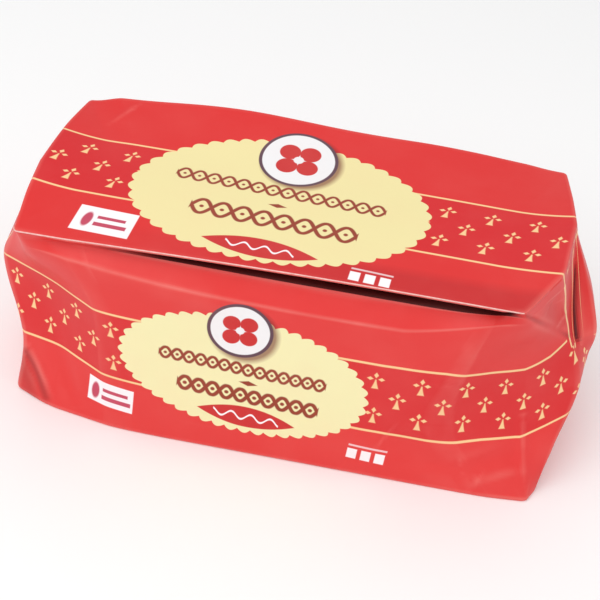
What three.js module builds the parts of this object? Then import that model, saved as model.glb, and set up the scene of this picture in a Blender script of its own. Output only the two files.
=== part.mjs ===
// A wrapped block of butter, lying as it is sold: one printed paper sheet round a soft loaf.
// The sheet's free edge lies along the top of the front face and stands a little open there.
// Each end is closed like an envelope: the side papers are tucked in and the top and bottom
// papers are turned over them. The tucks stand off the loaf and meet in a blunt ear.
// Millimetres, +X to the right, +Y to the back, +Z up. The origin is on the table, under the
// middle of the pack.
import * as THREE from "three";

const blockHeight = 64.6; // top panel above the table
const foldRadius = 0.9; // round of the folds along the base
const sheetThickness = 0.8; // the lifted sheet with its hem

// Fold lines of the four upright corners, each from the table to the top panel as (x, y, z).
// bend: where the long panel begins to turn in. crease: the soft fold of the tucked side.
// mitre: the slanting folds where the tucked side meets the bottom and the top paper.
const foldLines = {
  leftFront: {
    bend: [[-43, -34.4, 0], [-46, -34.2, 20], [-48, -34.2, 42], [-58, -34.2, 64.6]],
    crease: [
      [-66, -30, 0], [-62.5, -25, 19], [-65, -23.6, 41],
      [-69, -30.6, 55], [-70.4, -34.2, 64.6],
    ],
    mitre: [
      [-77.6, -24.2, 0], [-74.8, -22.4, 19], [-80.8, -17.2, 41],
      [-75, -22, 55], [-71.9, -18, 64.6],
    ],
  },
  rightFront: {
    bend: [[60, -36, 0], [44, -34.6, 20], [46.5, -34, 40], [54, -34.2, 64.6]],
    crease: [
      [72.2, -35.2, 0], [67.5, -27.4, 20], [64.5, -24.6, 42],
      [63.4, -28.8, 56], [60, -34.1, 64.6],
    ],
    mitre: [
      [74.4, -30, 0], [77, -27, 15], [80.8, -17, 30],
      [75.6, -13, 42], [71.6, -16.4, 56], [69.4, -17.4, 64.6],
    ],
  },
  rightBack: {
    bend: [[60, 34.2, 0], [50, 34.2, 20], [48, 34.2, 42], [58, 34.2, 64.6]],
    crease: [[71.4, 34, 0], [69, 28.6, 20], [69, 27, 42], [71.2, 30.4, 56], [70, 34.2, 64.6]],
    mitre: [[72.6, 31, 0], [77.6, 20, 20], [81.6, 9, 42], [74.8, 17.6, 56], [71.4, 18, 64.6]],
  },
  leftBack: {
    bend: [[-56, 34.2, 0], [-48, 34.2, 20], [-48, 34.2, 42], [-60, 34.2, 64.6]],
    crease: [[-71, 34, 0], [-67.5, 28.6, 20], [-66.5, 27, 42], [-69.4, 30.4, 56], [-70.4, 34.2, 64.6]],
    mitre: [[-73, 31, 0], [-76.6, 20, 20], [-76.6, 13, 42], [-72.8, 17.6, 56], [-71.7, 17, 64.6]],
  },
};

// The ear at each end: the line where the tucks meet, and the top paper pressed in beside it
const ears = {
  left: {
    edge: [[-76, 0, 0], [-78, 0, 20], [-82.6, 3, 41], [-76.4, -5.5, 55], [-72.6, -5, 64.6]],
    slit: [
      [-76, 2.4, 0], [-78, 2.4, 20], [-81, 5, 33],
      [-77, 5, 41], [-73.6, -4.4, 55], [-72.6, -3.8, 64.6],
    ],
  },
  right: {
    edge: [
      [72.6, 0, 0], [79.6, -2, 20], [82.8, -5, 33],
      [83.2, -5, 41], [76.6, 5.4, 55], [72.2, 5, 64.6],
    ],
    slit: [
      [72.6, -2.4, 0], [79.6, -4, 20], [82.4, -7, 33],
      [78, -6.6, 41], [73.4, 4.4, 55], [72.2, 3.8, 64.6],
    ],
  },
};

// Front panel: the long crease below the sheet's free edge, higher towards both corners
const crease = { lowest: 52.4, leftRise: 7, rightRise: 8 };
const creaseRuns = { leftFrom: 20, leftSpan: 91, rightFrom: 33, rightSpan: 27 };

// The open slit under the free edge, and the recess behind it
const slit = { from: -47, to: 60, widest: 1.75, depth: 7, lipInset: 2.8, closedLip: 61 };
const freeEdge = { z: blockHeight - 0.3, lift: 0.8 };
const sightSlope = 0.78;

// The top panel is puffed up along its back edge, most at the left part
const puff = { crown: 0.8, back: 4, out: 1.1 };
const swells = [
  { at: -24, width: 37, share: 1 },
  { at: 37, width: 19, share: 0.68 },
  { at: -62, width: 16, share: 0.12 },
];

// Both end edges of the top panel stand up as a low lip where the paper turns down
const endLip = { rise: 3, halfLength: 34.2 };

// How tightly the outline turns at each kind of fold, on the wall and at the top panel's rim
const turns = { edge: 0.14, slit: 0.04, mitre: 0.2, crease: 0.34, bend: 0.16 };
const rimTurn = 0.1;

// Points along each stretch of the outline, and rings up the wall and over the top
const steps = { ear: 1, mitre: 4, crease: 5, bend: 6, panel: 22 };
const baseShares = [0, 0.3, 1];
const baseInset = 0.86;
const wallRings = 13;
const bevelRings = 2;
const flapRings = 3;
const topShares = [0.93, 0.8, 0.62, 0.42, 0.2];
const topInset = 0.25;

const { clamp, lerp, smoothstep } = THREE.MathUtils;

// A smooth line through the points of a fold, read off at a height
function foldAt(points, z) {
  const last = points.length - 1;
  let k = 0;
  while (k < last - 1 && z > points[k + 1][2]) k++;
  const span = points[k + 1][2] - points[k][2];
  const t = clamp((z - points[k][2]) / span, 0, 1);
  const slope = (j, axis) => {
    const a = points[Math.max(j - 1, 0)];
    const b = points[Math.min(j + 1, last)];
    return (b[axis] - a[axis]) / (b[2] - a[2]);
  };
  const value = (axis) =>
    (2 * t ** 3 - 3 * t ** 2 + 1) * points[k][axis] +
    (t ** 3 - 2 * t ** 2 + t) * span * slope(k, axis) +
    (3 * t ** 2 - 2 * t ** 3) * points[k + 1][axis] +
    (t ** 3 - t ** 2) * span * slope(k + 1, axis);
  return new THREE.Vector2(value(0), value(1));
}

// The folds in their order round the pack, from the left ear along the front
const knots = [
  { kind: "edge", line: ears.left.edge },
  ...["mitre", "crease", "bend"].map((kind) => ({ kind, line: foldLines.leftFront[kind] })),
  ...["bend", "crease", "mitre"].map((kind) => ({ kind, line: foldLines.rightFront[kind] })),
  { kind: "slit", line: ears.right.slit },
  { kind: "edge", line: ears.right.edge },
  ...["mitre", "crease", "bend"].map((kind) => ({ kind, line: foldLines.rightBack[kind] })),
  ...["bend", "crease", "mitre"].map((kind) => ({ kind, line: foldLines.leftBack[kind] })),
  { kind: "slit", line: ears.left.slit },
];
const frontMiddle = 3.5;
const backMiddle = 11.5;
const frontEnd = 8;

// The outline at a place on the loop of folds, rounded where it passes a fold
function outline(s, z) {
  const n = knots.length;
  const k = Math.round(s);
  const [before, here, after] = [k - 1, k, k + 1].map((j) => foldAt(knots[(j + n) % n].line, z));
  const nearRim = smoothstep(z, blockHeight - 8, blockHeight);
  const round = lerp(turns[knots[k % n].kind], rimTurn, nearRim);
  const d = s - k;
  if (d <= -round) return here.lerp(before, -d);
  if (d >= round) return here.lerp(after, d);
  const t = (d + round) / (2 * round);
  const start = here.clone().lerp(before, round).multiplyScalar((1 - t) ** 2);
  const finish = here.clone().lerp(after, round).multiplyScalar(t ** 2);
  return here.multiplyScalar(2 * t * (1 - t)).add(start).add(finish);
}

// Places along the loop where the rings have their points
const places = knots.flatMap(({ kind }, k) => {
  const pair = [kind, knots[(k + 1) % knots.length].kind];
  let count = steps.panel;
  if (pair.includes("slit") && pair.includes("edge")) count = steps.ear;
  else if (pair.includes("edge") || pair.includes("slit")) count = steps.mitre;
  else if (pair.includes("mitre")) count = steps.crease;
  else if (pair.includes("crease")) count = steps.bend;
  return Array.from({ length: count }, (_, i) => k + i / count);
});

// The slit's height at x, as seen from the front and above
function slitOpening(x) {
  const q = clamp((x - slit.from) / (slit.to - slit.from), 0, 1);
  const peak = 0.44;
  return (slit.widest * q ** 0.9 * (1 - q) ** 0.42) / peak;
}

function backSwell(x) {
  const parts = swells.map(({ at, width, share }) => share * Math.exp(-(((x - at) / width) ** 2)));
  return parts.reduce((sum, part) => sum + part);
}

function frontCrease(x) {
  const left = clamp((creaseRuns.leftFrom - x) / creaseRuns.leftSpan, 0, 1);
  const right = clamp((x - creaseRuns.rightFrom) / creaseRuns.rightSpan, 0, 1);
  return crease.lowest + crease.leftRise * left ** 2 + crease.rightRise * right ** 1.3;
}

// What a column of points needs: its crease and lip, and the rim of the top panel above it
function column(s) {
  const front = s > 0 && s < frontEnd;
  const away = Math.abs(s - (front ? frontMiddle : backMiddle)) - 0.5;
  const share = 1 - smoothstep(away, 0, 1);
  const rim = outline(s, blockHeight);
  const swell = front ? 0 : share * backSwell(rim.x);
  const open = front ? slitOpening(rim.x) * share : 0;
  const along = clamp((rim.x - slit.from) / (slit.to - slit.from), 0, 1);
  const lift = front ? freeEdge.lift * Math.sin(Math.PI * along) : puff.back * swell;
  const aside = clamp(rim.y / endLip.halfLength, -1, 1);
  const endRise = endLip.rise * Math.cos((Math.PI / 2) * aside) * (1 - share);
  const lip = slit.closedLip - (front ? open / sightSlope : 0);
  return {
    s,
    open,
    share,
    lip: lip + (front ? 0 : puff.back * swell),
    crease: front ? lerp(lip - 3, Math.min(frontCrease(rim.x), lip - 1.4), share) : lip - 3,
    inset: front ? slit.lipInset * share : 0,
    rim: new THREE.Vector3(rim.x, rim.y + puff.out * swell, freeEdge.z + lift + endRise),
    under: freeEdge.z + lift + endRise - sheetThickness * share,
  };
}

// The paper from the table up to the lip, which leans in above the crease
function wallPoint(col, height) {
  const p = outline(col.s, Math.min(height, blockHeight));
  const lean = col.inset * clamp((height - col.crease) / (col.lip - col.crease), 0, 1);
  return new THREE.Vector3(p.x, p.y - Math.sign(p.y) * lean, height);
}

// From the lip up to the top sheet, with the recess of the open slit
function recessPoint(col, share) {
  const p = wallPoint(col, col.lip).lerp(new THREE.Vector3(col.rim.x, col.rim.y, col.under), share);
  p.y += slit.depth * Math.sin(Math.PI * share) * clamp(col.open, 0, 1);
  return p;
}

function basePoint(col, share) {
  const turn = (share * Math.PI) / 2;
  const p = outline(col.s, foldRadius);
  const scale = 1 - (foldRadius * (1 - Math.sin(turn))) / p.length();
  return new THREE.Vector3(p.x * scale, p.y * scale, foldRadius * (1 - Math.cos(turn)));
}

function topPoint(col, share) {
  const crown = puff.crown * (1 - share ** 2);
  const tail = (col.rim.z - blockHeight) * share ** 2;
  const x = col.rim.x * lerp(1, share, topInset);
  return new THREE.Vector3(x, col.rim.y * share, blockHeight + crown + tail);
}

// Every ring of points, from the middle of the base up the wall and over the top
function packRings() {
  const columns = places.map(column);
  const ring = (make) => columns.map(make);
  const between = (count, make) =>
    Array.from({ length: count }, (_, i) => ring((col) => make(col, (i + 1) / count)));
  const rings = [
    ...baseShares.map((share) => ring((col) => basePoint(col, share))),
    ...between(wallRings, (col, t) => wallPoint(col, lerp(foldRadius, col.crease, t))),
    ...between(bevelRings, (col, t) => wallPoint(col, lerp(col.crease, col.lip, t))),
    ...between(flapRings, recessPoint),
    ring((col) => col.rim.clone()),
    ...topShares.map((share) => ring((col) => topPoint(col, share))),
  ];
  rings.unshift(rings[0].map((p) => new THREE.Vector3(p.x * baseInset, p.y * baseInset, 0)));
  return rings;
}

// Bands of triangles between the rings, and a strip of them across the base and the top,
// with the middle of the whole at the origin
function closedSurface(rings) {
  const n = places.length;
  const index = [];
  for (let r = 0; r < rings.length - 1; r++)
    for (let i = 0; i < n; i++) {
      const j = (i + 1) % n;
      const [a, b, c, d] = [r * n + i, r * n + j, (r + 1) * n + j, (r + 1) * n + i];
      index.push(a, b, c, a, c, d);
    }
  const strip = (ring, upwards) => {
    const at = (i) => ring * n + ((i + n) % n);
    for (let i = 0; i < n / 2; i++) {
      const quad = [at(i), at(i + 1), at(-i - 1), at(-i)];
      for (const tri of [[quad[0], quad[1], quad[2]], [quad[0], quad[2], quad[3]]])
        if (new Set(tri).size === 3) index.push(...(upwards ? tri : tri.reverse()));
    }
  };
  strip(0, false);
  strip(rings.length - 1, true);
  const geometry = new THREE.BufferGeometry();
  const position = rings.flat().flatMap((p) => p.toArray());
  geometry.setAttribute("position", new THREE.Float32BufferAttribute(position, 3));
  geometry.setIndex(index);
  geometry.computeBoundingBox();
  const { min, max } = geometry.boundingBox;
  geometry.translate(-(min.x + max.x) / 2, -(min.y + max.y) / 2, 0);
  geometry.computeVertexNormals();
  return geometry;
}

const printedPaper = new THREE.MeshStandardMaterial({ color: 0xdf3a38, roughness: 0.42, metalness: 0 });
const pack = new THREE.Group();
const block = new THREE.Mesh(closedSurface(packRings()), printedPaper);
block.name = "wrapped_block";
pack.add(block);

export default pack;
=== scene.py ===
import math

import bpy
import numpy as np
from mathutils import Matrix, Vector, noise


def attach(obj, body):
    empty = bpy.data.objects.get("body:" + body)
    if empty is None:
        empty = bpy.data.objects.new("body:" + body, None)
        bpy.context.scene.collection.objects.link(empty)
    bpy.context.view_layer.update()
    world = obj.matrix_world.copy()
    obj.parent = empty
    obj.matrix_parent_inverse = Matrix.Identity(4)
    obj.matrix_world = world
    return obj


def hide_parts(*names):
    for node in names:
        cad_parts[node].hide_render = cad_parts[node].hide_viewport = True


# A wrapped block of butter: one printed paper sheet round a soft loaf, folded shut at both ends.
# Sizes are in millimetres up to the moment a mesh is made.
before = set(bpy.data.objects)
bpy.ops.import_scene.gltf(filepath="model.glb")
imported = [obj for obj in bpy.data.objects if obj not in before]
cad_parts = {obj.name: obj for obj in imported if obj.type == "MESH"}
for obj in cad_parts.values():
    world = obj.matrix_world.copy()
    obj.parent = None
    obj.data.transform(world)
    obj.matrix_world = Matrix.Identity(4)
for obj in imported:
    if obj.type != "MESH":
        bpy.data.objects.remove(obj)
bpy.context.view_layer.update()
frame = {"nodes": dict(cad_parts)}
mm = 0.001
print("frame loaded:", ", ".join(frame["nodes"]))


# Round the pack from the left ear along the front: the kind of each fold, its line from the
# table to the top panel, and how softly the paper turns there at heights up the wall.
folds = [
    ("edge", [(-76, 0, 0), (-78, 0, 20), (-82.6, 3, 41), (-76.4, -5.5, 55), (-72.6, -5, 64.6)],
     [(0, 0.14)]),
    ("mitre", [(-77.0, -24.2, 0), (-74.8, -22.4, 19), (-80.8, -17.2, 41),
               (-75, -22, 55), (-71.9, -18, 64.6)],
     [(0, 0.16), (41, 0.12)]),
    ("crease", [(-66, -30, 0), (-62.5, -25, 19), (-65, -23.6, 41),
                (-69, -30.6, 55), (-70.4, -34.2, 64.6)],
     [(0, 0.26), (30, 0.34), (55, 0.2)]),
    ("bend", [(-43, -34.4, 0), (-46, -34.2, 20), (-48, -34.2, 42), (-58, -34.2, 64.6)],
     [(0, 0.2), (42, 0.16)]),
    ("bend", [(60, -36, 0), (44, -34.6, 20), (46.5, -34, 40), (54, -34.2, 64.6)],
     [(0, 0.22), (22, 0.22), (36, 0.14), (44, 0.14), (60, 0.1)]),
    ("crease", [(72.2, -35.2, 0), (67.5, -27.4, 20), (64.5, -24.6, 42),
                (63.4, -28.8, 56), (60, -34.1, 64.6)],
     [(0, 0.1), (5, 0.28), (20, 0.34), (40, 0.32), (56, 0.3)]),
    ("mitre", [(74.4, -30, 0), (77, -27, 15), (80.8, -17, 30), (75.6, -13, 42),
               (71.6, -16.4, 56), (69.4, -17.4, 64.6)],
     [(0, 0.14), (42, 0.08)]),
    ("slit", [(72.6, -2.4, 0), (79.6, -4, 20), (82.2, -8, 33), (77.2, -9.4, 40.5),
              (74, 3.6, 55), (72.2, 3.8, 64.6)],
     [(0, 0.04)]),
    ("edge", [(72.6, 0, 0), (79.6, -2, 20), (82.8, -5, 33), (83.2, -5, 41),
              (76.6, 5.4, 55), (72.2, 5, 64.6)],
     [(0, 0.14)]),
    ("mitre", [(72.6, 31, 0), (77.6, 20, 20), (81.6, 9, 42), (74.8, 17.6, 56), (71.4, 18, 64.6)],
     [(0, 0.16), (42, 0.1)]),
    ("crease", [(71.4, 34, 0), (69, 28.6, 20), (69, 27, 42), (71.2, 30.4, 56), (70, 34.2, 64.6)],
     [(0, 0.12), (30, 0.3), (56, 0.24)]),
    ("bend", [(60, 34.2, 0), (50, 34.2, 20), (48, 34.2, 42), (58, 34.2, 64.6)],
     [(0, 0.2), (42, 0.1)]),
    ("bend", [(-56, 34.2, 0), (-48, 34.2, 20), (-48, 34.2, 42), (-60, 34.2, 64.6)],
     [(0, 0.2), (42, 0.1)]),
    ("crease", [(-71, 34, 0), (-67.5, 28.6, 20), (-66.5, 27, 42),
                (-69.4, 30.4, 56), (-70.4, 34.2, 64.6)],
     [(0, 0.12), (30, 0.3), (56, 0.24)]),
    ("mitre", [(-73, 31, 0), (-76.6, 20, 20), (-76.6, 13, 42), (-72.8, 17.6, 56), (-71.7, 17, 64.6)],
     [(0, 0.16), (42, 0.1)]),
    ("slit", [(-76, 2.4, 0), (-78, 2.4, 20), (-81, 5, 33), (-77, 5, 41),
              (-73.6, -4.4, 55), (-72.6, -3.8, 64.6)],
     [(0, 0.04)]),
]

# The wrapper's changeable sizes; shares and turns are parts of one stretch between two folds
wrapperForm = {
    "height": 64.6, "baseFold": 0.9, "sheet": 0.8, "shift": (-0.412, 0.266),
    "rimRound": 0.8, "cutRound": 0.25, "rimTurn": 0.1, "rimTurnFrom": 8,
    "creaseLowest": 52.4, "creaseLeftRise": 7, "creaseRightRise": 8,
    "creaseLeftFrom": 20, "creaseLeftSpan": 91, "creaseRightFrom": 33, "creaseRightSpan": 27,
    "slitFrom": -57, "slitTo": 60, "slitWidest": 1.4, "slitDepth": 7,
    "slitRise": 1.25, "slitFall": 0.42, "slitPeak": 0.4, "sightSlope": 0.78,
    "lipInset": 2.8, "closedLip": 61, "endBevel": 3, "leastBevel": 1.4,
    "edgeZ": 64.3, "edgeLift": 0.8, "lipRise": 3, "lipHalf": 34.2,
    # swells along the back edge: place, width, share
    "crown": 0.8, "puffBack": 4, "puffOut": 1.1, "puffs": [(-24, 37, 1), (34, 26, 0.5), (-66, 12, 0.14)],
    "topInset": 0.25, "innermostBase": 0.04, "innermostTop": 0.03,
    # unevenness of the paper: scale and height of the wide and the fine waves, and its share on the top
    "ripples": [(0.045, 0.32), (0.13, 0.1)], "topRipple": 0.22, "stillBelow": 8,
    "rubbedHighlightBend": 0.12, "creaseEnd": 0.04,
    # points along each stretch of the loop, and rings up each part of the sheet
    "columns": {"ear": 14, "mitre": 24, "crease": 24, "bend": 36, "panel": 118},
    "baseRings": 12, "foldRings": 4, "wallRings": 68, "bevelRings": 9, "recessRings": 8,
    "rimRings": 4, "topRings": 32,
}
form = wrapperForm
kinds = [kind for kind, line, soft in folds]
# places on the loop, counted in folds
frontMiddle, backMiddle, frontEnd, loopEnd, slitFolds = 3.5, 11.5, 8, 16, (7, 15)


def foldAt(k, z):
    p = np.array(folds[k % len(folds)][1], float)
    last = len(p) - 1
    j = np.minimum((z[..., None] > p[1:last, 2]).sum(-1), last - 1)
    slope = np.array([(p[min(i + 1, last), :2] - p[max(i - 1, 0), :2])
                      / (p[min(i + 1, last), 2] - p[max(i - 1, 0), 2]) for i in range(last + 1)])
    span = (p[j + 1, 2] - p[j, 2])[..., None]
    t = np.clip((z[..., None] - p[j, 2][..., None]) / span, 0, 1)
    return ((2 * t ** 3 - 3 * t ** 2 + 1) * p[j, :2] + (t ** 3 - 2 * t ** 2 + t) * span * slope[j]
            + (3 * t ** 2 - 2 * t ** 3) * p[j + 1, :2] + (t ** 3 - t ** 2) * span * slope[j + 1])


def smooth(x, low, high):
    t = np.clip((x - low) / (high - low), 0, 1)
    return t * t * (3 - 2 * t)


def outline(s, z):
    z = np.asarray(z, float)
    k = int(math.floor(s + 0.5))
    before, here, after = foldAt(k - 1, z), foldAt(k, z), foldAt(k + 1, z)
    soft = folds[k % len(folds)][2]
    turn = np.interp(z, [a for a, b in soft], [b for a, b in soft])
    nearRim = smooth(z, form["height"] - form["rimTurnFrom"], form["height"])
    turn = (turn + (form["rimTurn"] - turn) * nearRim)[..., None]
    d = s - k
    line = np.where(d <= 0, here + (before - here) * -d, here + (after - here) * d)
    t = np.clip((d + turn) / (2 * turn), 0, 1)
    start = here + (before - here) * turn
    finish = here + (after - here) * turn
    curve = start * (1 - t) ** 2 + here * 2 * t * (1 - t) + finish * t ** 2
    return np.where(np.abs(d) >= turn, line, curve)


def loopPlaces():
    places = []
    for k, kind in enumerate(kinds):
        pair = (kind, kinds[(k + 1) % len(kinds)])
        if "slit" in pair and "edge" in pair:
            count = form["columns"]["ear"]
        elif "edge" in pair or "slit" in pair:
            count = form["columns"]["mitre"]
        elif "mitre" in pair:
            count = form["columns"]["crease"]
        elif "crease" in pair:
            count = form["columns"]["bend"]
        else:
            count = form["columns"]["panel"]
        places += [k + i / count for i in range(count)]
    return places


def slitOpening(x):
    q = np.clip((x - form["slitFrom"]) / (form["slitTo"] - form["slitFrom"]), 0, 1)
    return form["slitWidest"] * q ** form["slitRise"] * (1 - q) ** form["slitFall"] / form["slitPeak"]


def frontCrease(x):
    left = np.clip((form["creaseLeftFrom"] - x) / form["creaseLeftSpan"], 0, 1)
    right = np.clip((x - form["creaseRightFrom"]) / form["creaseRightSpan"], 0, 1)
    rise = form["creaseLeftRise"] * left ** 2 + form["creaseRightRise"] * right ** 1.3
    return form["creaseLowest"] + rise


def backSwell(x):
    return sum(part * math.exp(-(((x - at) / width) ** 2)) for at, width, part in form["puffs"])


def columnOf(s):
    front = 0 < s < frontEnd
    share = 1 - smooth(abs(s - (frontMiddle if front else backMiddle)) - 0.5, 0, 1)
    x, y = outline(s, form["height"])
    swell = 0 if front else share * backSwell(x)
    opening = slitOpening(x) * share if front else 0
    along = np.clip((x - form["slitFrom"]) / (form["slitTo"] - form["slitFrom"]), 0, 1)
    lift = form["edgeLift"] * math.sin(math.pi * along) if front else form["puffBack"] * swell
    endRise = form["lipRise"] * math.cos(math.pi / 2 * np.clip(y / form["lipHalf"], -1, 1)) * (1 - share)
    lip = form["closedLip"] - (opening / form["sightSlope"] if front else 0)
    crease = lip - form["endBevel"]
    if front:
        crease += (min(frontCrease(x), lip - form["leastBevel"]) - crease) * share
    lip += 0 if front else form["puffBack"] * swell
    rim = np.array([x, y + form["puffOut"] * swell, form["edgeZ"] + lift + endRise])
    return {"s": s, "open": opening, "share": share, "front": front, "lip": lip, "crease": crease,
            "inset": form["lipInset"] * share if front else 0, "rim": rim}


def wallPoints(col, heights):
    p = outline(col["s"], np.minimum(heights, form["height"]))
    lean = col["inset"] * np.clip((heights - col["crease"]) / (col["lip"] - col["crease"]), 0, 1)
    return np.column_stack([p[:, 0], p[:, 1] - np.sign(p[:, 1]) * lean, heights])


def topPoints(col, shares):
    rim = col["rim"]
    crown = form["crown"] * (1 - shares ** 2) + (rim[2] - form["height"]) * shares ** 2
    return np.column_stack([rim[0] * (1 + (shares - 1) * form["topInset"]), rim[1] * shares,
                            form["height"] + crown])


def columnPoints(col):
    fold = form["baseFold"]
    foot = outline(col["s"], np.array([fold]))[0]
    length = np.linalg.norm(foot)
    turn = np.linspace(0, math.pi / 2, form["foldRings"] + 1)
    scale = 1 - fold * (1 - np.sin(turn)) / length
    rounded = np.column_stack([foot[0] * scale, foot[1] * scale, fold * (1 - np.cos(turn))])
    inward = np.linspace(form["innermostBase"], 1, form["baseRings"], endpoint=False)
    flat = rounded[0] * inward[:, None]
    climb = np.linspace(0, 1, form["wallRings"] + 1)[1:]
    wall = wallPoints(col, fold + (col["crease"] - fold) * climb)
    climb = np.linspace(0, 1, form["bevelRings"] + 1)[1:]
    bevel = wallPoints(col, col["crease"] + (col["lip"] - col["crease"]) * climb)
    lip = bevel[-1]
    # the rim is a tight fold, and a bare cut edge along the slit
    share = col["share"] if col["front"] else 0
    heading = lip - col["rim"]
    heading = heading / np.linalg.norm(heading) * (1 - share) + np.array([0, 0, -1]) * share
    heading /= np.linalg.norm(heading)
    curl = form["rimRound"] * (1 - share) + form["cutRound"] * share
    under = col["rim"] + heading * max(form["sheet"] * share, curl)
    t = np.linspace(0, 1, form["recessRings"] + 1)[1:, None]
    recess = lip + (under - lip) * t
    recess[:, 1] += form["slitDepth"] * np.sin(math.pi * t[:, 0]) * min(col["open"], 1)
    width = math.hypot(form["topInset"] * col["rim"][0], col["rim"][1])
    inner = 1 - curl / width
    start, corner, finish = col["rim"] + heading * curl, col["rim"], topPoints(col, np.array([inner]))[0]
    t = np.linspace(0, 1, form["rimRings"] + 1)[:, None]
    rim = start * (1 - t) ** 2 + corner * 2 * t * (1 - t) + finish * t ** 2
    top = topPoints(col, np.linspace(inner, form["innermostTop"], form["topRings"] + 1)[1:])
    return np.vstack([flat, rounded, wall, bevel, recess, rim, top])


def ringSpans():
    counts = [form["baseRings"], form["foldRings"] + 1, form["wallRings"], form["bevelRings"],
              form["recessRings"], form["rimRings"] + 1, form["topRings"]]
    ends = np.cumsum(counts)
    names = ["base", "fold", "wall", "bevel", "recess", "rim", "top"]
    return {name: (end - count, end) for name, end, count in zip(names, ends, counts)}


# Soft pulls and pressed lines in the paper: end points, width, height (below nought is pressed in)
paperCreases = [
    ((-60.5, 21, 65.2), (-55, 32, 66.3), 1.3, 0.5),
    ((-70, -34.2, 60), (-6, -34.2, 49), 5.0, 0.5),
    ((48, -34, 37), (39, -34.4, 18), 4.5, 0.12),
    ((66.5, -26.6, 24), (71, -33.5, 2), 1.5, 0.4),
    ((30, -34.4, 16), (58, -34, 3), 5.0, -0.7),
    ((52, -35, 9), (70, -31, 15), 2.6, -0.32),
    ((56, -35, 4), (69, -32.5, 9), 2.2, 0.26),
    ((-64, -27, 22), (-56, -31, 2), 2.6, -0.6),
    ((-72, -23, 16), (-64, -29, 2), 1.6, 0.35),
    ((-74, -23.5, 13), (-67, -28.3, 2), 1.5, -0.5),
    ((-79, -10, 33), (-76, -16, 6), 2.2, -0.6),
    ((60.5, -33, 62.5), (74.9, -13.2, 43), 0.9, -0.45),
    ((66, -22, 60), (73, -16.5, 50), 3.0, -1.3),
    ((77.8, -9.6, 38.5), (74.2, 3, 54), 1.1, -1.2),
    ((-77.6, 5, 38.5), (-74, -3, 54), 1.1, -1.2),
    ((80, 2, 36), (76, 14, 6), 2.4, -0.6),
    ((72, 30, 50), (70, 22, 22), 2.6, -0.5),
    ((-70, 28, 46), (-76, 18, 20), 2.6, -0.5),
    ((-40, 34.2, 58), (30, 34.2, 50), 4.5, 0.5),
    ((20, 34.2, 14), (56, 34.2, 24), 5.0, -0.6),
]


# Folds that lie in their own shadow, painted in as darker colour: end points, width, darkness
foldShades = [
    ((60.5, -33, 62.5), (74.9, -13.2, 43), 0.6, 0.5),
    ((-73.4, -23.4, 13.5), (-66.2, -28.4, 2.5), 1.5, 0.5),
    ((-74.5, -24, 9), (-71, -26, 0), 4.0, 0.34),
    ((67, -23, 58), (72, -16, 50), 4.5, 0.14),
    ((75.5, -28.5, 3), (78.5, -22, 20), 2.2, 0.28),
    ((71, 24, 20), (66, 29, 2), 2.0, 0.3),
]


# How far along a stroke each point lies, and how far from it
def strokeGap(points, a, b):
    a, b = np.array(a, float), np.array(b, float)
    along = np.clip(((points - a) @ (b - a)) / np.dot(b - a, b - a), 0, 1)
    return along, np.linalg.norm(points - a - along[..., None] * (b - a), axis=-1)


# painted shade: each point's colour is darkened near these folds
def shadeFolds(points):
    shade = np.zeros(points.shape[:-1])
    for a, b, width, darkness in foldShades:
        gap = strokeGap(points, a, b)[1]
        shade = np.maximum(shade, darkness * np.exp(-(gap / width) ** 2))
    return shade


def pressCreases(points, normals):
    for a, b, width, height in paperCreases:
        along, gap = strokeGap(points, a, b)
        fade = np.sin(math.pi * np.clip(along, form["creaseEnd"], 1 - form["creaseEnd"])) ** 0.5
        points = points + normals * (height * fade * np.exp(-(gap / width) ** 2))[..., None]
    return points


def gridNormals(points):
    across = np.roll(points, -1, 1) - np.roll(points, 1, 1)
    up = np.gradient(points, axis=0)
    normals = np.cross(across, up)
    size = np.linalg.norm(normals, axis=-1, keepdims=True)
    return normals / np.maximum(size, 1e-9)


# How the print lies on the folded sheet
printLay = {
    # lift of the long side's print at places round the loop, low and high on the wall
    "lowLift": ((4, 4.5, 5, 6, 7), (0, 1.9, 3.1, 10.4, 13)),
    "highLift": ((3.5, 3.8, 4, 4.5, 5, 5.5, 6, 7), (0, 0.8, 2.0, 1.4, 0.4, 1.9, 5.4, 7)),
    "liftFrom": 15, "liftSpan": 27,
    # the tucked papers crowd a little: from so far off the middle, by so much
    "crowdRight": (50, 1.09), "crowdLeft": (60, 1.12),
    # the top panel's print starts on this ring of the rim
    "topFromRing": 2,
    # place across the top panel's print at places round the two end flaps
    "flapAcross": ((0, 0.15, 0.25, 0.88, 1, 5.92, 6.03, 6.68, 6.9, 7.25, 7.38, 7.5, 8, 9.1, 13.9, 15, 16),
                   (20, 20, 13, -13, -18, -18, -13, 13, 20, 20, 11.8, 20, 20, 28, 28, 20, 20)),
    "flapMiddle": -2.8, "flapSlope": 0.031, "flapTurn": 9, "flapFoot": 39.3,
    "rightFlap": (5.93, 9), "leftFlap": (14, 1),
}


# Distance along the loop from the middle of one long side
def arcFromMiddle(points, length, s, middle):
    arc = np.empty_like(length)
    cols = np.where(abs(s - middle) <= 0.5)[0]
    for r in range(len(points)):
        x = points[r, cols, 0]
        order = np.argsort(x)
        arc[r] = length[r] - np.interp(0, x[order], length[r, cols][order])
    return arc


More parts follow.
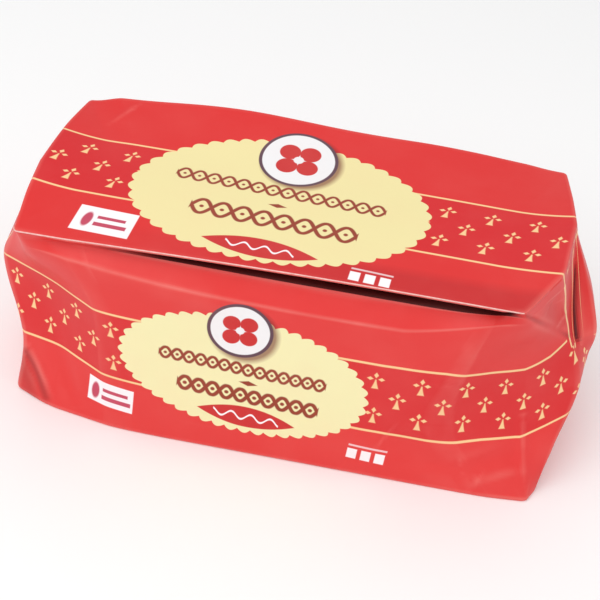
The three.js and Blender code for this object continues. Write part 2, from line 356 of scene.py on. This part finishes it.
# For each part of the sheet, the place on its print of every point
def printPlaces(points, places, spans):
    s = np.array(places)
    step = np.linalg.norm(np.diff(points[:, :, :2], axis=1, append=points[:, :1, :2]), axis=-1)
    length = np.concatenate([np.zeros((len(points), 1)), np.cumsum(step, 1)[:, :-1]], 1)
    frontArc = arcFromMiddle(points, length, s, frontMiddle)
    backArc = arcFromMiddle(points, length, s, backMiddle)
    high = np.clip((points[..., 2] - printLay["liftFrom"]) / printLay["liftSpan"], 0, 1)
    lift = np.interp(s, *printLay["lowLift"]) * (1 - high) + np.interp(s, *printLay["highLift"]) * high
    start, squeeze = printLay["crowdRight"]
    frontArc = np.where(frontArc > start, start + (frontArc - start) * squeeze, frontArc)
    start, squeeze = printLay["crowdLeft"]
    frontArc = np.where(frontArc < -start, -start + (frontArc + start) * squeeze, frontArc)
    front = np.stack([frontArc, points[..., 2] - lift * (s < frontEnd)], -1)
    back = np.stack([backArc, points[..., 2]], -1)
    climbed = np.cumsum(np.linalg.norm(np.diff(points, axis=0, prepend=points[:1]), axis=-1), 0)
    rim = spans["rim"][0] + printLay["topFromRing"]
    rimX, rimY = points[rim, :, 0], points[rim, :, 1]
    down = climbed[rim] - climbed
    across = np.interp(s, *printLay["flapAcross"]) + printLay["flapMiddle"] - printLay["flapSlope"] * rimX
    v = rimY + (across - rimY) * smooth(down, 0, printLay["flapTurn"])
    endFlap = np.stack([rimX + np.sign(rimX) * down, v], -1)
    top = points[..., :2].copy()
    base = points[..., :2] * np.array([1, -1])
    return {"front": front, "back": back, "endFlap": endFlap, "top": top, "base": base}


# The faces between the rings, and the part of the sheet that each one shows
def sheetFaces(points, places, spans):
    rings, n = points.shape[:2]
    middles = (np.array(places) + np.array(places[1:] + [loopEnd])) / 2
    rightFrom, rightTo = printLay["rightFlap"]
    leftFrom, leftTo = printLay["leftFlap"]
    quads, regions = [], []
    for r in range(rings - 1):
        for i, s in enumerate(middles):
            j = (i + 1) % n
            quads.append((r * n + i, r * n + j, (r + 1) * n + j, (r + 1) * n + i))
            onEnd = rightFrom < s < rightTo or s > leftFrom or s < leftTo
            if r < spans["fold"][0]:
                regions.append("base")
            elif r >= spans["rim"][0] + printLay["topFromRing"]:
                regions.append("top")
            elif onEnd and points[r, i, 2] > printLay["flapFoot"]:
                regions.append("endFlap")
            else:
                regions.append("front" if s < frontEnd else "back")
    # the innermost rings are closed by strips
    for ring, region in ((0, "base"), (rings - 1, "top")):
        at = [ring * n + i for i in range(n)]
        for i in range(n // 2):
            quad = (at[i], at[(i + 1) % n], at[-i - 1], at[-i] if i else at[0])
            quads.append(quad if ring else quad[::-1])
            regions.append(region)
    return quads, regions


# Points that fall together are made one, and faces that shrink to nothing are left out
def mergeCorners(flat, quads, regions):
    first, index = np.unique(np.round(flat, 3), axis=0, return_index=True, return_inverse=True)[1:]
    index = index.ravel()
    faces, corners, faceRegions = [], [], []
    for quad, region in zip(quads, regions):
        kept = [q for k, q in enumerate(quad) if index[q] != index[quad[k - 1]]]
        if len(kept) > 2 and len({index[q] for q in kept}) == len(kept):
            faces.append([int(index[q]) for q in kept])
            corners += kept
            faceRegions += [region] * len(kept)
    return first, faces, corners, faceRegions


# Creases and unevenness of the paper, with none of it at the base or inside the slit
def crumple(points, normals, spans):
    ripple = np.array([sum(noise.noise(Vector(p) * scale) * height for scale, height in form["ripples"])
                       for p in points.reshape(-1, 3)]).reshape(points.shape[:2])
    held = np.clip(points[..., 2] / form["stillBelow"], 0, 1)
    shown = np.ones(len(points))
    shown[spans["recess"][0]:spans["recess"][1]] = 0
    shown[spans["rim"][0]:] = form["topRipple"]
    pressed = pressCreases(points, normals)
    pressed = points + (pressed - points) * held[..., None] * shown[:, None, None]
    return pressed + normals * (ripple * held * shown[:, None])[..., None]


# Where the paper is bent outwards its print is a little rubbed, and lighter there as a painted highlight
def rubbedHighlightPlaces(pressed, normals):
    around = (np.roll(pressed, 1, 1) + np.roll(pressed, -1, 1)) / 2 - pressed
    above = np.zeros_like(pressed)
    above[1:-1] = (pressed[:-2] + pressed[2:]) / 2 - pressed[1:-1]
    bent = -np.einsum("rnk,rnk->rn", around + above, normals)
    return np.clip(bent / form["rubbedHighlightBend"], 0, 1)


# The slit's inside and the gaps beside the two ears are painted dark: a painted shadow in these hollows
darkPlaces = {
    "slitGain": 2.2, "lipShare": 0.9, "earOffset": 0.06, "earWidth": 0.17,
    "earFoot": (37.5, 40), "earTop": (53, 57),
}


def deepFolds(points, places, columns, spans, corners, faces):
    deep = np.zeros(points.shape[:2])
    opening = np.array([col["open"] for col in columns])
    recess = spans["recess"]
    deep[recess[0]:recess[1] - 1] = np.clip(opening * darkPlaces["slitGain"], 0, 1)
    height = points[..., 2]
    tall = smooth(height, *darkPlaces["earFoot"]) * (1 - smooth(height, *darkPlaces["earTop"]))
    for fold in slitFolds:
        gap = np.array(places) - fold - darkPlaces["earOffset"]
        deep = np.maximum(deep, np.exp(-(gap / darkPlaces["earWidth"]) ** 2) * tall)
    perCorner = deep.reshape(-1)[corners]
    starts = np.cumsum([0] + [len(f) for f in faces])[:-1]
    perFace = np.minimum.reduceat(perCorner, starts)
    onLip = np.array(corners)[starts] // points.shape[1] == recess[0] - 1
    perFace = np.where(onLip, np.maximum.reduceat(perCorner, starts) * darkPlaces["lipShare"], perFace)
    return np.repeat(perFace, [len(f) for f in faces])


def buildWrapper():
    places = loopPlaces()
    spans = ringSpans()
    columns = [columnOf(s) for s in places]
    points = np.stack([columnPoints(col) for col in columns], 1)
    normals = gridNormals(points)
    pressed = crumple(points, normals, spans)
    quads, regions = sheetFaces(points, places, spans)
    flat = pressed.reshape(-1, 3) + np.array([*form["shift"], 0])
    first, faces, corners, faceRegions = mergeCorners(flat, quads, regions)
    mesh = bpy.data.meshes.new("wrapper")
    mesh.from_pydata((flat[first] * mm).tolist(), [], faces)
    prints = {name: table.reshape(-1, 2) for name, table in printPlaces(points, places, spans).items()}
    uv = np.array([prints[region][q] for q, region in zip(corners, faceRegions)])
    mesh.uv_layers.new(name="paper").data.foreach_set("uv", uv.ravel())
    values = [
        ("longSide", "CORNER", [1.0 if region in ("front", "back") else 0.0 for region in faceRegions]),
        ("rubbedHighlight", "POINT", rubbedHighlightPlaces(pressed, normals).reshape(-1)[first]),
        ("shaded", "POINT", shadeFolds(points).reshape(-1)[first]),
        ("deepFold", "CORNER", deepFolds(points, places, columns, spans, corners, faces)),
    ]
    for name, domain, numbers in values:
        mesh.attributes.new(name, "FLOAT", domain).data.foreach_set("value", numbers)
    mesh.shade_smooth()
    mesh.validate()
    wrapper = bpy.data.objects.new("paper_wrapper", mesh)
    bpy.context.scene.collection.objects.link(wrapper)
    print("wrapper:", len(mesh.vertices), "points,", sum(len(f) - 2 for f in faces), "triangles")
    return wrapper, columns


# Shader maths written as plain sums: a field is one socket, a paint is one material
class Field:
    def __init__(self, paint, socket):
        self.paint, self.socket = paint, socket

    def math(self, operation, *others, clamp=False):
        settings = {"operation": operation, "use_clamp": clamp}
        return self.paint.node("ShaderNodeMath", settings, dict(enumerate([self, *others])))

    def __add__(self, other): return self.math("ADD", other)
    __radd__ = __add__
    def __mul__(self, other): return self.math("MULTIPLY", other)
    __rmul__ = __mul__
    def __sub__(self, other): return self.math("SUBTRACT", other)
    def __rsub__(self, other): return self.paint.value("SUBTRACT", other, self)
    def __truediv__(self, other): return self.math("DIVIDE", other)
    def __rtruediv__(self, other): return self.paint.value("DIVIDE", other, self)
    def __pow__(self, other): return self.math("POWER", other)
    def __mod__(self, other): return self.math("FLOORED_MODULO", other)
    def __abs__(self): return self.math("ABSOLUTE")
    def __gt__(self, other): return self.math("GREATER_THAN", other)
    def sin(self): return self.math("SINE")
    def floor(self): return self.math("FLOOR")
    def least(self, other): return self.math("MINIMUM", other)
    def most(self, other): return self.math("MAXIMUM", other)
    def clamp(self): return self.math("ADD", 0.0, clamp=True)


class Paint:
    def __init__(self, name):
        self.material = bpy.data.materials.new(name)
        self.material.use_nodes = True
        self.tree = self.material.node_tree
        self.tree.nodes.clear()

    def node(self, kind, settings=None, inputs=None, out=0):
        made = self.tree.nodes.new(kind)
        for name, value in (settings or {}).items():
            setattr(made, name, value)
        for name, value in (inputs or {}).items():
            if isinstance(value, Field):
                self.tree.links.new(value.socket, made.inputs[name])
            else:
                made.inputs[name].default_value = value
        return Field(self, made.outputs[out] if made.outputs else None)

    def value(self, operation, *values):
        return self.node("ShaderNodeMath", {"operation": operation}, dict(enumerate(values)))

    def blend(self, factor, first, second):
        return self.node("ShaderNodeMix", {"data_type": "RGBA"}, {0: factor, 6: first, 7: second}, out=2)

    def parts(self, vector):
        split = self.node("ShaderNodeSeparateXYZ", {}, {0: vector}).socket.node
        return [Field(self, socket) for socket in split.outputs]

    def attribute(self, name):
        return self.node("ShaderNodeAttribute", {"attribute_name": name}, out=2)

    def speckle(self, scale, detail):
        place = self.node("ShaderNodeTexCoord", out=3)
        return self.node("ShaderNodeTexNoise", {}, {"Vector": place, "Scale": scale, "Detail": detail})

    def finish(self, inputs):
        surface = self.node("ShaderNodeBsdfPrincipled", {}, inputs)
        self.node("ShaderNodeOutputMaterial", {}, {"Surface": surface})
        return self.material


def ink(red, green, blue):
    linear = [c / 255 / 12.92 if c <= 10 else ((c / 255 + 0.055) / 1.055) ** 2.4
              for c in (red, green, blue)]
    return (*linear, 1)


# Printing inks, as they are seen in the photo's light, and the colours of painted sheen, shade, shadow and
# highlight
inks = {
    "ground": ink(221, 41, 40), "band": ink(213, 29, 35), "gold": ink(248, 206, 150),
    "cream": ink(240, 226, 166), "badge": ink(241, 239, 240), "badgeRing": ink(96, 66, 78),
    "shade": ink(120, 30, 30), "title": ink(150, 58, 36), "lens": ink(204, 44, 44),
    # the long side's colours are these inks made lighter and pinker: a painted sheen
    "white": ink(252, 246, 248), "tagMark": ink(196, 70, 96), "sideGroundSheen": ink(225, 58, 56),
    "sideBandSheen": ink(216, 44, 46), "sideCreamSheen": ink(243, 235, 182), "frontEdgeShade": ink(196, 34, 36),
    "rubbedHighlight": ink(246, 150, 140), "mottle": ink(255, 160, 150), "deepFold": ink(12, 2, 4),
}

# Pairs are for the top panel and for the long side; x runs along the pack, y up the panel
wrapperPrint = {
    "lineSlope": (0.031, 0.034), "bandMiddle": (-2.8, 28.75), "bandHalf": (13.0, 11.25),
    "spotRight": (37.7, 26.2), "spotLeft": (-50.2, -45.4), "spotLean": (5.4, 6.4),
    "ovalX": (-6.87, -9.08), "ovalY": (-4.12, 28.24), "ovalHalfX": (40.4, 34.2), "ovalHalfY": (27.6, 19.8),
    "ovalTilt": (0.028, -0.121),
    "badgeX": (-5.1, -10.5), "badgeY": (16.2, 43.6), "badgeHalfX": (11.1, 8.8), "badgeHalfY": (12.6, 9.1),
    "lensX": (-8.3, -7.4), "lensY": (-26.2, 13.7), "lensHalfX": (15.4, 13.7), "lensHalfY": (3.9, 3.6),
    "tagX": (-49.1, -46.2), "tagY": (-25.2, 11.6), "tagHalfX": (7.9, 7.0), "tagHalfY": (5.2, 4.3),
    "weightX": (21.0, 26.8), "weightY": (-30.8, 8.3),
    "titleX": (-7.4, -9.3), "titleY": (0.0, 30.6), "titleHalf": (29.2, 22.9), "titleRise": (2.3, 1.8),
    "nameX": (-7.0, -7.4), "nameY": (-13.5, 21.2), "nameHalf": (22.7, 19.65), "nameRise": (3.1, 2.15),
    "textTilt": (0.07, 0.07),
}
# Sizes that both panels share
printDetail = {
    "lineWidth": 0.72, "endFold": 73.5, "endLine": 0.9,
    "spotPeriod": 12.12, "spotRow": 0.515, "spotSkew": 0.28, "spotSoft": 0.3, "spotScale": 0.6,
    # an ermine spot: half sizes of its lozenges, where they are, and the flared tail
    "spotTop": (0.62, 0.92), "spotTopY": 1.95, "spotSide": (0.86, 0.58), "spotSideAt": (1.5, 0.72),
    "tailFrom": 0.5, "tailLong": 3.0, "tailBend": 1.4, "tailFlare": 0.78, "tailHalf": 0.16,
    "scallops": 46, "scallopDrift": 0.11, "scallopMean": 0.6, "scallopDepth": 1.3, "leastReach": 0.05,
    "ringWidth": 0.95,
    "shadowShift": (1.1, -1.0), "shadowGrow": 0.3, "shadowSoft": 1.7, "shadowShare": 0.75,
    # parts of the badge's half width
    "petalAt": 0.26, "petalSize": 0.27, "heartSize": 0.13,
    "titleThick": 0.92, "nameThick": 1.2, "braidPeriod": 3.6, "braidSoft": 0.3,
    "lozengeHalf": (2.6, 0.9), "lozengeScale": 0.8,
    "lensScale": 3.4, "wavePitch": 1.15, "waveRise": 1.05, "waveThick": 0.34, "waveHalf": 9.2,
    "leafAt": (-4.6, 1.2), "leafHalf": (1.3, 3.0), "leafLean": 0.3, "leafSoft": 0.3,
    # middle and half sizes of the two bars
    "tagBars": ((1.6, 1.3, 3.8, 0.62), (1.9, -1.6, 4.4, 0.78)),
    "blockStart": 4.1, "blockPitch": 3.9, "blocksHalf": 5.85, "blockY": -0.9, "blockHalf": (1.35, 1.75),
    "weightLineY": 2.1, "weightLineHalf": (5.4, 0.32), "weightLineShare": 0.6,
    # painted shade: the darker strip along the top panel's front edge
    "stripY": -24, "stripBlend": 4, "stripX": -60, "stripSpan": 70, "stripShare": 0.8,
}
# The paper's own surface: scale and detail of each noise, heights in metres
paperLook = {
    "mottle": (55.0, 4.0), "grain": (2200.0, 2.0), "crinkle": (120.0, 3.0),
    "grainHeight": 0.00001, "crinkleHeight": 0.00022, "bumpStrength": 0.6,
    "wornHighlightShare": 0.7, "mottleFrom": 0.45, "mottleShare": 0.14,
    "roughness": 0.36, "mottleRoughness": 0.14, "wornRoughness": 0.2,
    "specular": 0.26, "coat": 0.05, "coatRoughness": 0.3,
}
design, detail = wrapperPrint, printDetail


# How far inside a shape's rim a place is, as a soft mask
def inside(distance, soft=0.22):
    return (0.5 - distance / soft).clamp()


def turnedBy(x, y, angle):
    # angle is small, so its sine and cosine are as good as these
    return x + y * (angle * -1), y + x * angle


def away(x, y):
    return (x * x + y * y) ** 0.5


def box(x, y, halfX, halfY):
    return (abs(x) - halfX).most(abs(y) - halfY)


def diamond(x, y, halfX, halfY):
    return abs(x) / halfX + abs(y) / halfY - 1


# Three lozenges in a cross over a flared tail
def ermineSpot(px, py):
    ax = abs(px)
    sideX, sideY = detail["spotSideAt"]
    upper = diamond(ax, py - detail["spotTopY"], *detail["spotTop"]) * detail["spotScale"]
    sides = diamond(ax - sideX, py - sideY, *detail["spotSide"]) * detail["spotScale"]
    start, half = detail["tailFrom"], detail["tailLong"] / 2
    fall = ((start - py) / detail["tailLong"]).clamp()
    flare = (fall ** detail["tailBend"]) * detail["tailFlare"]
    tail = (ax - flare - detail["tailHalf"]).most(abs(py + (half - start)) - half)
    return inside(upper.least(sides).least(tail), detail["spotSoft"])


# The band, and the two gold lines along it with the ermine spots between them
def bandMasks(x, y, longSide, pick):
    across = y + x * pick("lineSlope") - pick("bandMiddle")
    half = pick("bandHalf")
    inBand = inside(abs(across) - half)
    overEnd = (1 - longSide) * (abs(x) > detail["endFold"])
    onLine = inside(abs(abs(across) - half) - detail["lineWidth"] / 2 - overEnd * detail["endLine"])
    right = x > pick("ovalX")
    pitch = half * detail["spotRow"]
    row = ((across / pitch) + 0.5).floor().most(-1).least(1)
    start = pick("spotLeft") + right * (pick("spotRight") - pick("spotLeft")) + (1 - row) * pick("spotLean")
    period = detail["spotPeriod"]
    px = (x - start + period / 2) % period - period / 2
    py = across - row * pitch
    spots = ermineSpot(px - py * (1 - longSide) * detail["spotSkew"], py) * inBand * (1 - overEnd)
    return inBand, onLine.most(spots)


# The scalloped oval label
def labelMask(paint, x, y, pick):
    dx, dy = turnedBy(x - pick("ovalX"), y - pick("ovalY"), pick("ovalTilt") * -1)
    ex, ey = dx / pick("ovalHalfX"), dy / pick("ovalHalfY")
    angle = paint.value("ARCTAN2", ey, ex)
    phase = (angle - (angle * 2).sin() * detail["scallopDrift"]) * (detail["scallops"] / 2)
    distance = away(dx, dy) * (1 - 1 / away(ex, ey).most(detail["leastReach"]))
    return inside(distance - (abs(phase.sin()) - detail["scallopMean"]) * detail["scallopDepth"])


# The round badge: its shadow, its ring, its face and a four-petalled flower
def badgeMasks(x, y, pick):
    bx, by = x - pick("badgeX"), y - pick("badgeY")
    hx, hy = pick("badgeHalfX"), pick("badgeHalfY")

    def disc(shiftX, shiftY, grow):
        return (away((bx - shiftX) / (hx + grow), (by - shiftY) / (hy + grow)) - 1) * hx

    ring = inside(disc(0, 0, 0))
    face = inside(disc(0, 0, -detail["ringWidth"]))
    shadow = inside(disc(*detail["shadowShift"], detail["shadowGrow"]), detail["shadowSoft"])
    fx, fy = bx / hx, by / hy
    at, size = detail["petalAt"], detail["petalSize"]
    petals = [away(fx - a, fy - b) - size for a, b in ((at, at), (-at, at), (at, -at), (-at, -at))]
    flower = petals[0].least(petals[1]).least(petals[2]).least(petals[3])
    heart = detail["heartSize"] - away(fx, fy)
    return shadow * detail["shadowShare"], ring, face, inside(flower.most(heart) * hx) * face


# A running braid: two strands that cross, with a bead in every eye
def braid(x, y, pick, line):
    rise, thick = pick(line + "Rise"), detail[line + "Thick"]
    sx, sy = turnedBy(x - pick(line + "X"), y - pick(line + "Y"), pick("textTilt"))
    period = rise * detail["braidPeriod"]
    turn = sx / period * (2 * math.pi)
    wave = turn.sin() * rise
    steep = ((turn + math.pi / 2).sin() * (2 * math.pi / detail["braidPeriod"])) ** 2 + 1
    slant = steep ** 0.5
    strand = (abs(sy - wave) / slant).least(abs(sy + wave) / slant) - thick / 2
    bead = away(sx % (period / 2) - period / 4, sy) - thick * 0.5
    return inside(strand.least(bead), detail["braidSoft"]) * inside(abs(sx) - pick(line + "Half"))


# Braids in the places of the two title lines, and a lozenge between them
def titleMask(x, y, pick):
    mx, my = turnedBy(x - pick("nameX"), y - (pick("titleY") + pick("nameY")) * 0.5, pick("textTilt"))
    lozenge = inside(diamond(mx, my, *detail["lozengeHalf"]) * detail["lozengeScale"])
    return braid(x, y, pick, "title").most(braid(x, y, pick, "name")).most(lozenge)


# The red lens below them, and its white wave
def lensMasks(x, y, pick):
    lx, ly = turnedBy(x - pick("lensX"), y - pick("lensY"), pick("textTilt"))
    lens = abs(ly / pick("lensHalfY")) - (1 - (lx / pick("lensHalfX")) ** 2)
    lens = inside(lens * detail["lensScale"])
    wave = abs(ly - (lx * detail["wavePitch"]).sin() * detail["waveRise"]) - detail["waveThick"]
    return lens, inside(wave) * inside(abs(lx) - detail["waveHalf"]) * lens


# The small white tag, and the leaf and two bars on it
def tagMasks(x, y, pick):
    tx, ty = turnedBy(x - pick("tagX"), y - pick("tagY"), pick("textTilt"))
    tag = inside(box(tx, ty, pick("tagHalfX"), pick("tagHalfY")))
    leafX, leafY = detail["leafAt"]
    halfX, halfY = detail["leafHalf"]
    leaf = away((tx - leafX) / halfX, (ty - tx * detail["leafLean"] - leafY) / halfY) - 1
    marks = inside(leaf, detail["leafSoft"])
    for barX, barY, halfX, halfY in detail["tagBars"]:
        marks = marks.most(inside(box(tx - barX, ty - barY, halfX, halfY)))
    return tag, marks * tag


# Three blocks in the place of the weight, under a thin line
def weightMask(x, y, pick):
    wx, wy = turnedBy(x - pick("weightX"), y - pick("weightY"), pick("textTilt"))
    pitch = detail["blockPitch"]
    halfX, halfY = detail["blockHalf"]
    block = abs((wx + detail["blockStart"] + pitch / 2) % pitch - pitch / 2) - halfX
    blocks = inside(block.most(box(wx, wy - detail["blockY"], detail["blocksHalf"], halfY)))
    line = inside(box(wx, wy - detail["weightLineY"], *detail["weightLineHalf"]))
    return blocks.most(line * detail["weightLineShare"])


def wrapperPaint():
    paint = Paint("printed paper")
    x, y = paint.parts(paint.node("ShaderNodeUVMap", {"uv_map": "paper"}))[:2]
    longSide = paint.attribute("longSide")

    def pick(name):
        top, side = design[name]
        return longSide * (side - top) + top

    inBand, gold = bandMasks(x, y, longSide, pick)
    label = labelMask(paint, x, y, pick)
    shadow, ring, face, flower = badgeMasks(x, y, pick)
    lens, wave = lensMasks(x, y, pick)
    tag, tagMarks = tagMasks(x, y, pick)
    # painted shade darkens the top panel along its front edge
    strip = ((detail["stripY"] - y) / detail["stripBlend"]).clamp()
    strip = strip * ((x - detail["stripX"]) / detail["stripSpan"]).clamp() * (1 - longSide)

    # from the lowest layer to the highest
    # the long sides take lighter, pinker copies of the inks: a painted sheen
    cream = paint.blend(longSide, inks["cream"], inks["sideCreamSheen"])
    layers = [
        (inBand, paint.blend(longSide, inks["band"], inks["sideBandSheen"])),
        (strip * detail["stripShare"], inks["frontEdgeShade"]), (gold, inks["gold"]), (label, cream),
        (shadow, inks["shade"]), (ring, inks["badgeRing"]), (face, inks["badge"]), (flower, inks["lens"]),
        (titleMask(x, y, pick) * label, inks["title"]), (lens, inks["lens"]), (wave, inks["white"]),
        (tag, inks["white"]), (tagMarks, inks["tagMark"]), (weightMask(x, y, pick), inks["white"]),
    ]

    # soft mottling, rubbed print with a painted highlight, painted shade in folds, painted shadow in the
    # slit, fine grain and slight crinkles
    mottle, grain, crinkle = (paint.speckle(*paperLook[name]) for name in ("mottle", "grain", "crinkle"))
    # rubbed print along outward bends, lightened as a painted highlight
    wornHighlight = (paint.attribute("rubbedHighlight") * paperLook["wornHighlightShare"] * mottle).clamp()
    layers += [
        (wornHighlight, inks["rubbedHighlight"]),
        ((mottle - paperLook["mottleFrom"]) * paperLook["mottleShare"], inks["mottle"]),
        (paint.attribute("shaded"), inks["shade"]), (paint.attribute("deepFold"), inks["deepFold"]),
    ]
    # the ground, with a painted sheen on the long sides
    colour = paint.blend(longSide, inks["ground"], inks["sideGroundSheen"])
    for mask, printed in layers:
        colour = paint.blend(mask, colour, printed)
    height = grain * paperLook["grainHeight"] + crinkle * paperLook["crinkleHeight"]
    bump = paint.node("ShaderNodeBump", {},
                      {"Height": height, "Distance": 1.0, "Strength": paperLook["bumpStrength"]})
    roughness = mottle * paperLook["mottleRoughness"] + paperLook["roughness"]
    roughness = roughness + wornHighlight * paperLook["wornRoughness"]
    return paint.finish({"Base Color": colour, "Roughness": roughness, "Normal": bump,
                         "Specular IOR Level": paperLook["specular"], "Coat Weight": paperLook["coat"],
                         "Coat Roughness": paperLook["coatRoughness"]})


# The pale cut edge of the sheet is swept along the rim above the slit
cutEdge = {
    # from and to are places on the loop, counted in folds
    "from": 1.9, "to": 4.97, "width": 0.4, "thickness": 0.28, "lower": 0.22, "proud": 0.02,
    "points": 220, "sides": 10,
    "fibre": (900.0, 3.0), "fibreHeight": 0.00005, "roughness": 0.5, "fibreRoughness": 0.2,
    "darkFibre": ink(222, 142, 136), "paleFibre": ink(250, 216, 208),
}


def edgeTree():
    tree = bpy.data.node_groups.new("cut edge sweep", "GeometryNodeTree")
    face = tree.interface
    face.new_socket(name="Geometry", in_out="INPUT", socket_type="NodeSocketGeometry")
    for name in ("Width", "Thickness"):
        face.new_socket(name=name, in_out="INPUT", socket_type="NodeSocketFloat")
    face.new_socket(name="Paper", in_out="INPUT", socket_type="NodeSocketMaterial")
    face.new_socket(name="Geometry", in_out="OUTPUT", socket_type="NodeSocketGeometry")
    nodes, link = tree.nodes, tree.links.new
    start, end = nodes.new("NodeGroupInput"), nodes.new("NodeGroupOutput")
    path, smoothPath = nodes.new("GeometryNodeMeshToCurve"), nodes.new("GeometryNodeResampleCurve")
    smoothPath.inputs["Count"].default_value = cutEdge["points"]
    normal = nodes.new("GeometryNodeSetCurveNormal")
    normal.mode = "Z_UP"
    profile = nodes.new("GeometryNodeCurvePrimitiveCircle")
    profile.inputs["Resolution"].default_value = cutEdge["sides"]
    # one across, so that the width and the thickness scale it to size
    profile.inputs["Radius"].default_value = 0.5
    size, flat = nodes.new("ShaderNodeCombineXYZ"), nodes.new("GeometryNodeTransform")
    sweep = nodes.new("GeometryNodeCurveToMesh")
    sweep.inputs["Fill Caps"].default_value = True
    whole, paper = nodes.new("GeometryNodeRealizeInstances"), nodes.new("GeometryNodeSetMaterial")
    link(start.outputs["Geometry"], path.inputs[0])
    link(path.outputs[0], smoothPath.inputs["Curve"])
    link(smoothPath.outputs[0], normal.inputs["Curve"])
    link(start.outputs["Thickness"], size.inputs[0])
    link(start.outputs["Width"], size.inputs[1])
    size.inputs[2].default_value = 1
    link(profile.outputs[0], flat.inputs["Geometry"])
    link(size.outputs[0], flat.inputs["Scale"])
    link(normal.outputs[0], sweep.inputs["Curve"])
    link(flat.outputs[0], sweep.inputs["Profile Curve"])
    link(sweep.outputs[0], whole.inputs[0])
    link(whole.outputs[0], paper.inputs["Geometry"])
    link(start.outputs["Paper"], paper.inputs["Material"])
    link(paper.outputs[0], end.inputs[0])
    return tree


def edgePaint():
    paint = Paint("cut paper edge")
    fibre = paint.speckle(*cutEdge["fibre"])
    colour = paint.blend(fibre, cutEdge["darkFibre"], cutEdge["paleFibre"])
    bump = paint.node("ShaderNodeBump", {}, {"Height": fibre * cutEdge["fibreHeight"], "Distance": 1.0})
    roughness = fibre * cutEdge["fibreRoughness"] + cutEdge["roughness"]
    return paint.finish({"Base Color": colour, "Roughness": roughness, "Normal": bump})


def buildCutEdge(columns):
    rims = [col["rim"] for col in columns if cutEdge["from"] <= col["s"] <= cutEdge["to"]]
    shiftX, shiftY = form["shift"]
    path = np.array(rims) + np.array([shiftX, shiftY - cutEdge["proud"], -cutEdge["lower"]])
    mesh = bpy.data.meshes.new("edge path")
    mesh.from_pydata((path * mm).tolist(), [(i, i + 1) for i in range(len(path) - 1)], [])
    guide = bpy.data.objects.new("edge_path", mesh)
    bpy.context.scene.collection.objects.link(guide)
    sweep = guide.modifiers.new("sweep", "NODES")
    sweep.node_group = edgeTree()
    values = {"Width": cutEdge["width"] * mm, "Thickness": cutEdge["thickness"] * mm, "Paper": edgePaint()}
    for item in sweep.node_group.interface.items_tree:
        if item.in_out == "INPUT" and item.name in values:
            sweep[item.identifier] = values[item.name]
    shape = guide.evaluated_get(bpy.context.evaluated_depsgraph_get())
    swept = bpy.data.meshes.new_from_object(shape)
    guide.modifiers.remove(sweep)
    bpy.data.objects.remove(guide)
    swept.name = "cut edge"
    swept.shade_smooth()
    edge = bpy.data.objects.new("cut_edge", swept)
    bpy.context.scene.collection.objects.link(edge)
    print("cut edge:", len(swept.vertices), "points")
    return edge


# Metres and watts
studio = {
    "floorSize": 6.0, "floor": ink(252, 252, 252), "floorRoughness": 0.9,
    "world": 0.6, "worldColour": (1.0, 1.0, 1.0, 1), "aim": (0, 0, 0.03),
    "lamps": [  # place, size, power
        ((-0.3, -0.5, 0.8), 0.9, 5.2), ((0.75, -0.15, 0.55), 0.6, 1.1), ((-0.1, 0.6, 0.9), 0.8, 0.8),
    ],
}
# Fitted to the photo, in millimetres and degrees
photoCamera = {
    "place": (29.18, -288.17, 260.32), "turn": 5.70, "tilt": 38.51, "roll": 5.79,
    "lens": 77.64, "sensor": 36.0,
}


def buildStudio():
    size = studio["floorSize"] / 2
    mesh = bpy.data.meshes.new("floor")
    corners = [(-size, -size, 0), (size, -size, 0), (size, size, 0), (-size, size, 0)]
    mesh.from_pydata(corners, [], [(0, 1, 2, 3)])
    floor = bpy.data.objects.new("floor", mesh)
    bpy.context.scene.collection.objects.link(floor)
    paint = Paint("pale floor")
    surface = {"Base Color": studio["floor"], "Roughness": studio["floorRoughness"]}
    mesh.materials.append(paint.finish(surface))
    world = bpy.data.worlds.new("soft room")
    world.use_nodes = True
    background = world.node_tree.nodes["Background"]
    background.inputs["Color"].default_value = studio["worldColour"]
    background.inputs["Strength"].default_value = studio["world"]
    bpy.context.scene.world = world
    for number, (place, width, power) in enumerate(studio["lamps"]):
        light = bpy.data.lights.new(f"softbox {number}", "AREA")
        light.shape, light.size, light.energy = "SQUARE", width, power
        lamp = bpy.data.objects.new(light.name, light)
        lamp.location = place
        lamp.rotation_euler = (Vector(studio["aim"]) - Vector(place)).to_track_quat("-Z", "Y").to_euler()
        bpy.context.scene.collection.objects.link(lamp)
    bpy.context.scene.view_settings.view_transform = "Standard"
    print("studio ready")


def buildCamera():
    turn, tilt, roll = (math.radians(photoCamera[name]) for name in ("turn", "tilt", "roll"))
    back = Vector((math.sin(turn) * math.cos(tilt), -math.cos(turn) * math.cos(tilt), math.sin(tilt)))
    right = Vector((math.cos(turn), math.sin(turn), 0))
    up = back.cross(right)
    side = right * math.cos(roll) + up * math.sin(roll)
    upper = up * math.cos(roll) - right * math.sin(roll)
    lens = bpy.data.cameras.new("photo camera")
    lens.lens, lens.sensor_width = photoCamera["lens"], photoCamera["sensor"]
    camera = bpy.data.objects.new("photo_camera", lens)
    place = Matrix((side, upper, back)).transposed().to_4x4()
    place.translation = Vector(photoCamera["place"]) * mm
    camera.matrix_world = place
    bpy.context.scene.collection.objects.link(camera)
    bpy.context.scene.camera = camera


buildCamera()
wrapper, columns = buildWrapper()
wrapper.data.materials.append(wrapperPaint())
edge = buildCutEdge(columns)
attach(wrapper, "root")
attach(edge, "root")
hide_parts("wrapped_block")
buildStudio()
